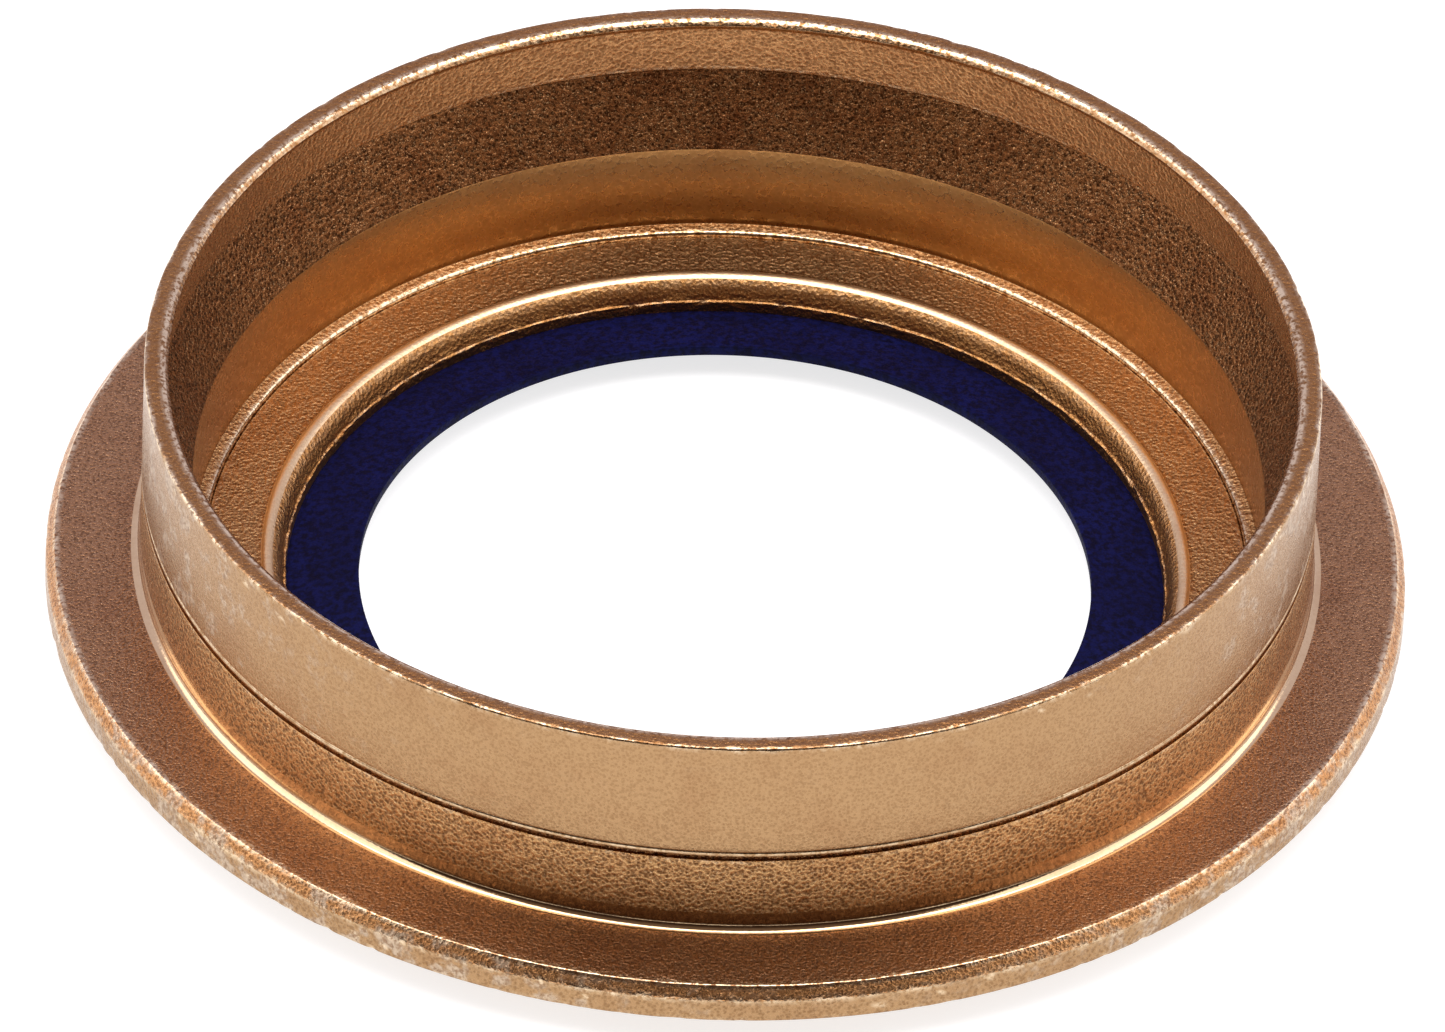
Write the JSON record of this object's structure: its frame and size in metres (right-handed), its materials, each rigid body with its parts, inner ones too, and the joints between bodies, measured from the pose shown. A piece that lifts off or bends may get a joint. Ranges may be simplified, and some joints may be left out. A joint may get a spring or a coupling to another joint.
{
  "type": "flanged sleeve bushing",
  "caption": "Round flanged bronze bushing with a thin upright collar, a stepped bore with a conical mouth and a blue wiper seal at its foot.",
  "frame": {"origin": "on the bushing's axis, in the plane of the pilot's bottom face, on which it stands", "axes": "+Z along the axis, out of the open collar; X and Y are arbitrary, because every piece is a ring"},
  "size_m": [0.0928, 0.0928, 0.0206],
  "materials": {
    "bronze": "turned and fine-blasted bronze with a granular grain and bright worn edges",
    "navy_elastomer": "matt moulded elastomer, slightly mottled"
  },
  "bodies": {
    "root": {"flanged_body": "bronze", "collar_sleeve": "bronze", "seal_clamp_ring": "bronze", "wiper_seal": "navy_elastomer"}
  },
  "joints": []
}
